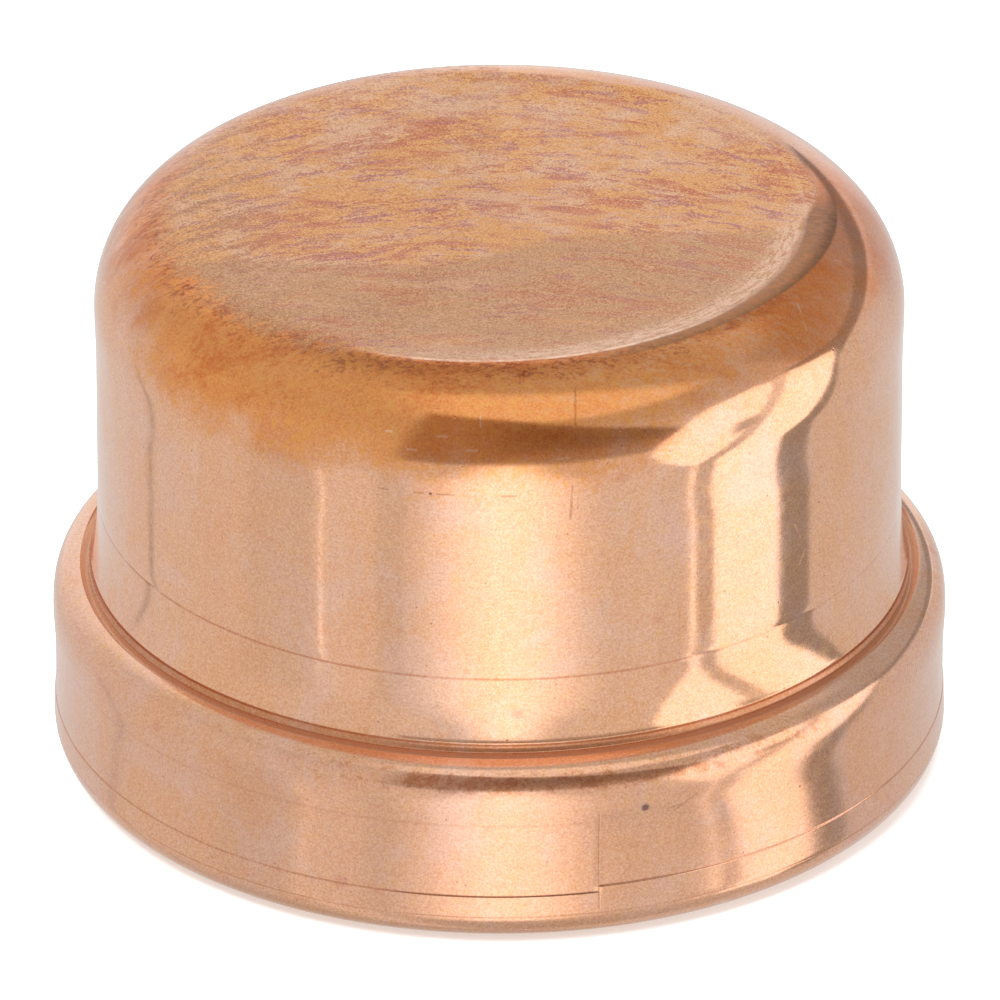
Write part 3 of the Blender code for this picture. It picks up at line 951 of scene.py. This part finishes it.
def bare_copper():
    """The shell's inside: dull pinkish copper with fine turned lines and darker mottling."""
    made, n, shader, where = new_material("bare_copper")
    patch = n.noise(where, 0.12, 5, 0.6, offset=2)
    mottle = n.noise(where, 0.9, 5, 0.65, offset=6)
    turned = n.noise(where, 2.2, 4, 0.7, stretch=(0.03, 0.03, 1.6), offset=8)
    colour = n.mix(n.ramp(patch, 0.38, 0.64), (0.86, 0.46, 0.3), (0.78, 0.36, 0.2))
    colour = n.tint(n.ramp(turned, 0.45, 0.7, 0, 0.4), colour, (0.75, 0.62, 0.55))
    colour = n.tint(n.ramp(mottle, 0.5, 0.75, 0, 0.5), colour, (0.7, 0.5, 0.4))
    rough = n.ramp(mottle, 0.3, 0.75, 0.24, 0.42)
    surface(n, shader, colour, rough, n.plus(n.times(turned, 5), n.times(mottle, 6)), 1)
    return made


# ---- The rings' materials ----

def rubber():
    """Black synthetic rubber with a satin bloom."""
    made, n, shader, where = new_material("seal_rubber")
    bloom = n.noise(where, 0.25, 5, 0.6)
    grain = n.noise(where, 5, 3, 0.6)
    colour = n.mix(n.ramp(bloom, 0.4, 0.7), (0.013, 0.013, 0.014), (0.045, 0.045, 0.047))
    rough = n.plus(n.ramp(bloom, 0.35, 0.65, 0.3, 0.55), n.ramp(grain, 0.3, 0.7, 0, 0.1))
    surface(n, shader, colour, rough, n.plus(n.times(grain, 5), n.times(bloom, 10)))
    return made


def plastic():
    """Natural off-white moulded plastic with faint flow marks."""
    made, n, shader, where = new_material("separator_plastic")
    flow = n.noise(where, 0.2, 4, 0.55, stretch=(1, 1, 0.3), distortion=1.2)
    grain = n.noise(where, 4, 3, 0.6)
    colour = n.mix(n.ramp(flow, 0.35, 0.65), (0.66, 0.63, 0.56), (0.57, 0.54, 0.47))
    colour = n.tint(n.ramp(grain, 0.5, 0.75, 0, 0.3), colour, (0.8, 0.77, 0.7))
    shader.inputs["Subsurface Weight"].default_value = 0.1
    shader.inputs["Subsurface Radius"].default_value = (MM, MM * 0.8, MM * 0.6)
    rough = n.ramp(flow, 0.3, 0.7, 0.36, 0.5)
    surface(n, shader, colour, rough, n.plus(n.times(grain, 4), n.times(flow, 10)))
    return made


def steel():
    """Stamped stainless spring steel, brushed round the ring, with a few warmer patches."""
    made, n, shader, where = new_material("grip_steel")
    brushed = n.noise(where, 3, 4, 0.7, stretch=(0.05, 0.05, 1.5))
    patch = n.noise(where, 0.3, 4, 0.6)
    colour = n.mix(n.ramp(brushed, 0.35, 0.65), (0.66, 0.655, 0.65), (0.5, 0.495, 0.49))
    colour = n.tint(n.ramp(patch, 0.5, 0.7, 0, 0.4), colour, (0.8, 0.76, 0.7))
    rough = n.ramp(brushed, 0.3, 0.7, 0.2, 0.36)
    surface(n, shader, colour, rough, n.plus(n.times(brushed, 5), n.times(patch, 8)), 1)
    return made


# ---- The studio ----

def half_plane(n, azimuth, elevation, start, end, soft):
    """Eases from 0 to 1 over soft degrees, towards the side on the left of the way from start to end."""
    run = (end[0] - start[0], end[1] - start[1])
    length = math.hypot(*run)
    across = (-run[1] / length, run[0] / length)
    along = n.times(n.minus(azimuth, start[0]), across[0])
    up = n.times(n.minus(elevation, start[1]), across[1])
    return n.ramp(n.plus(along, up), -soft / 2, soft / 2)


def card(n, azimuth, elevation, corners, soft):
    """A mask over the directions inside a convex outline, given anticlockwise as (azimuth, elevation)."""
    sides = zip(corners, corners[1:] + corners[:1])
    return n.times(*[half_plane(n, azimuth, elevation, start, end, soft) for start, end in sides])


def strip(n, along, across, stations, soft):
    """A mask over a strip, given by its two edges' places across at each of a few places along.

    The edges are kept as a colour ramp's red and green, where 0 to 1 stands for a whole turn round 0.
    """
    first, last = stations[0][0], stations[-1][0]
    curve = n.add("ShaderNodeValToRGB")
    points = curve.color_ramp.elements
    for place, low, high in stations[1:-1]:
        points.new((place - first) / (last - first))
    for point, (place, low, high) in zip(points, stations):
        point.position = (place - first) / (last - first)
        point.color = (low / TURN + 0.5, high / TURN + 0.5, 0, 1)
    share = n.times(n.minus(along, first), 1 / (last - first))
    n.put(curve.inputs[0], share)
    edges = n.split(curve.outputs[0])
    low, high = n.swing(edges[0], TURN), n.swing(edges[1], TURN)
    half = soft / 2
    inside = n.times(
        n.ramp(n.minus(across, low), -half, half),
        n.ramp(n.minus(high, across), -half, half),
    )
    return n.times(inside, n.ramp(along, first - half, first + half), n.ramp(along, last + half, last - half))


# The two edges of the studio's window panes and of the bars beside them, as (elevation, azimuth, azimuth)
LEFT_PANE = [
    (-44, 56, 58), (-26, 56.3, 58), (-22, 51, 60.5), (-15, 45.5, 65), (-5, 41.5, 70), (0, 42, 72),
    (7.5, 45, 77.5), (14, 50, 81), (19, 54, 84.5), (24, 58.5, 86), (27.5, 66, 82),
]
RIGHT_PANE = [
    (-44, 63.8, 86.8), (-25, 64, 87.5), (-20, 68, 94), (-15, 71.5, 97), (-4, 77, 102), (4, 81, 105),
    (8, 83.5, 107.5), (12, 86, 108.5), (16, 88, 104), (20, 90.5, 97.5), (23, 93, 94),
]
MULLION = [
    (-44, 58, 64), (-25, 58, 64.5), (-15, 66, 73), (-4, 70, 78), (4, 74, 82), (12, 79, 87), (25, 86, 93),
]
POST = [
    (-44, 86.3, 99), (-25, 87, 100), (-20, 93, 103), (-15, 97, 104), (-4, 101, 105.5), (4, 104, 107.5),
    (8, 107, 110), (12, 108, 113), (17, 102, 113), (20, 96, 107), (23, 92, 100), (25.5, 88, 93),
]
# The edges of a shelf behind them, as (azimuth, elevation, elevation)
SHELF = [(106, 4, 17), (113, 8, 17), (120, 9.5, 18), (140, 11, 20), (158, 11.5, 20), (171, 12, 17)]
# The corners of the dark opening in front and of a shadow on the window, as (azimuth, elevation)
OPENING = [
    (-27, 1), (46, 1), (50, 5), (52, 18), (45, 27), (33, 36), (20, 45), (5, 53), (-10, 56), (-27, 57),
]
WINDOW_SHADOW = [(66, -6), (75, -4), (74, 4), (67, 3)]
OPENING_WARMTH = (1, 0.8, 0.68)
WHITE = (1, 1, 1)
BACKDROP = (0.99, 0.99, 0.99)


def studio():
    """A pale tent: soft walls, a dark opening in front, a window of light on the right, a bright table."""
    world = bpy.data.worlds.new("studio")
    bpy.context.scene.world = world
    world.use_nodes = True
    world.node_tree.nodes.clear()
    n = Nodes(world.node_tree)
    x, y, z = n.split(n.add("ShaderNodeTexCoord").outputs["Generated"])
    azimuth = n.azimuth(x, y)
    elevation = n.times(n.math("ARCSINE", z), DEGREES)

    def lit(light, mask, level):
        """Moves the light towards level where mask is 1."""
        return n.plus(light, n.times(mask, n.minus(level, light)))

    light = n.ramp(elevation, -30, -70, 0.775, 0.6)
    light = lit(light, n.ramp(elevation, 12, 40), n.ramp(x, 0, -0.5, 0.63, 0.71))
    behind = n.ramp(n.math("ABSOLUTE", azimuth), 120, 165)
    back = n.ramp(elevation, 42, 60, 0.98, 0.62)
    light = lit(light, n.times(behind, n.ramp(elevation, -20, 0)), back)
    ahead = n.times(n.ramp(elevation, 46, 52), n.ramp(y, -0.02, -0.2), n.ramp(x, -0.45, -0.1))
    light = lit(light, ahead, 1.0)
    corner_shade = n.times(n.between(azimuth, 104, 161, 10), n.between(elevation, 20, 42, 12))
    light = lit(light, corner_shade, 0.5)
    low = n.ramp(elevation, -12, -24)
    for start, end, soft, level in ((-74, -59, 7, 0.725), (-51.5, -37, 2, 0.83), (-33, -28, 4, 0.73)):
        light = lit(light, n.times(low, n.between(azimuth, start, end, soft)), level)
    light = lit(light, n.times(low, n.near(azimuth, -119, 1.8)), 0.52)
    light = lit(light, n.times(n.ramp(elevation, -24, -27), n.near(azimuth, -52.3, 0.8)), 1.35)

    opening = card(n, azimuth, elevation, OPENING, 6)
    shade = n.times(n.ramp(elevation, 2, 26), n.ramp(azimuth, -24, 22))
    light = lit(light, opening, n.ramp(shade, 0, 1, 0.45, 0.3))
    door = n.times(n.between(azimuth, -26.5, 46, 1), n.between(elevation, -34, -2, 4))
    light = lit(light, door, 0.81)
    width = n.ramp(elevation, -4, -26, 15, 31)
    share = n.math("DIVIDE", n.math("ABSOLUTE", n.minus(azimuth, 2)), width)
    light = lit(light, n.times(n.ramp(share, 1, 0), n.between(elevation, -42, -4, 10)), 1.62)

    right = n.times(n.between(azimuth, 103, 158, 6), n.ramp(elevation, 10, 6))
    light = lit(light, right, 0.73)
    light = lit(light, strip(n, elevation, azimuth, POST, 1.2), 0.38)
    light = lit(light, strip(n, azimuth, elevation, SHELF, 1.6), 0.36)
    light = lit(light, strip(n, elevation, azimuth, MULLION, 1.6), n.ramp(elevation, -22, 0, 0.68, 0.95))
    light = lit(light, strip(n, elevation, azimuth, LEFT_PANE, 1.2), 1.5)
    light = lit(light, strip(n, elevation, azimuth, RIGHT_PANE, 1.2), 1.55)
    light = lit(light, card(n, azimuth, elevation, WINDOW_SHADOW, 4), 0.65)

    warmed = n.mix(n.times(opening, n.ramp(elevation, -6, 14)), WHITE, OPENING_WARMTH)
    sky = n.add("ShaderNodeBackground", warmed, light)
    plain = n.add("ShaderNodeBackground", BACKDROP)
    seen = n.add("ShaderNodeLightPath").outputs["Is Camera Ray"]
    both = n.add("ShaderNodeMixShader", seen, sky.outputs[0], plain.outputs[0])
    n.add("ShaderNodeOutputWorld", both.outputs[0])


def table():
    """A broad pale light table, open under the cap's mouth, seen from above and clear from below."""
    segments = 128
    radii = (SKIRT_RADIUS - LIP - LIP_LAND / 2, 100.0, TABLE_RADIUS)
    turn = np.linspace(0, math.tau, segments, endpoint=False)
    azimuth, radius = np.meshgrid(turn, radii)
    verts = ring_verts(radius, 0 * radius, azimuth) * MM
    obj = mesh_object("table", verts, ring_faces(len(radii), segments, False))
    obj.visible_glossy = False
    made, n, shader, where = new_material("table_top")
    fleck = n.ramp(n.noise(where, 0.5, 3), 0.3, 0.7)
    n.put(shader.inputs["Base Color"], n.mix(fleck, (0.9, 0.9, 0.9), (0.91, 0.91, 0.91)))
    shader.inputs["Roughness"].default_value = 0.8
    shader.inputs["Specular IOR Level"].default_value = 0.2
    n.put(shader.inputs["Emission Color"], WHITE)
    shader.inputs["Emission Strength"].default_value = 0.4
    below = n.add("ShaderNodeNewGeometry").outputs["Backfacing"]
    clear = n.add("ShaderNodeBsdfTransparent")
    both = n.add("ShaderNodeMixShader", below, shader.outputs[0], clear.outputs[0])
    out = next(node for node in made.node_tree.nodes if node.type == "OUTPUT_MATERIAL")
    made.node_tree.links.new(both.outputs[0], out.inputs["Surface"])
    obj.data.materials.append(made)


def lamp(name, place, size, watts):
    """A square soft light aimed at the cap, which the copper doesn't mirror."""
    data = bpy.data.lights.new(name, "AREA")
    data.shape = "SQUARE"
    data.size = size * MM
    data.energy = watts
    obj = bpy.data.objects.new(name, data)
    obj.location = Vector(place) * MM
    obj.rotation_euler = (-obj.location).to_track_quat("-Z", "Y").to_euler()
    obj.visible_glossy = False
    bpy.context.scene.collection.objects.link(obj)


def camera():
    data = bpy.data.cameras.new("camera")
    data.sensor_width = SENSOR_MM
    data.lens = PIXELS_PER_MM * CAMERA_DISTANCE * SENSOR_MM / PICTURE_WIDTH
    data.clip_start = 0.05
    data.clip_end = 20
    obj = bpy.data.objects.new("camera", data)
    elevation = math.radians(CAMERA_ELEVATION)
    aim = Vector((AIM_RIGHT, 0, AIM_HEIGHT)) * MM
    away = Vector((0, -math.cos(elevation), math.sin(elevation)))
    obj.location = aim + away * CAMERA_DISTANCE * MM
    obj.rotation_euler = (-away).to_track_quat("-Z", "Y").to_euler()
    bpy.context.scene.collection.objects.link(obj)
    bpy.context.scene.camera = obj


# ---- Build ----

def stand_in(obj, node, finish=None):
    """Rides a piece on the cap in place of a CAD node."""
    if finish:
        obj.data.materials.append(finish)
    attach(obj, "root")
    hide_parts(node)


def main():
    camera()
    studio()
    table()
    lamp("overhead_light", LAMP_PLACE, LAMP_SIZE, LAMP_WATTS)
    bpy.context.scene.view_settings.view_transform = "Standard"
    stand_in(shell(), "cap_body")
    stand_in(seal_ring(), "seal_ring", rubber())
    stand_in(separator_ring(), "separator_ring", plastic())
    stand_in(grip_ring(), "grip_ring", steel())


main()
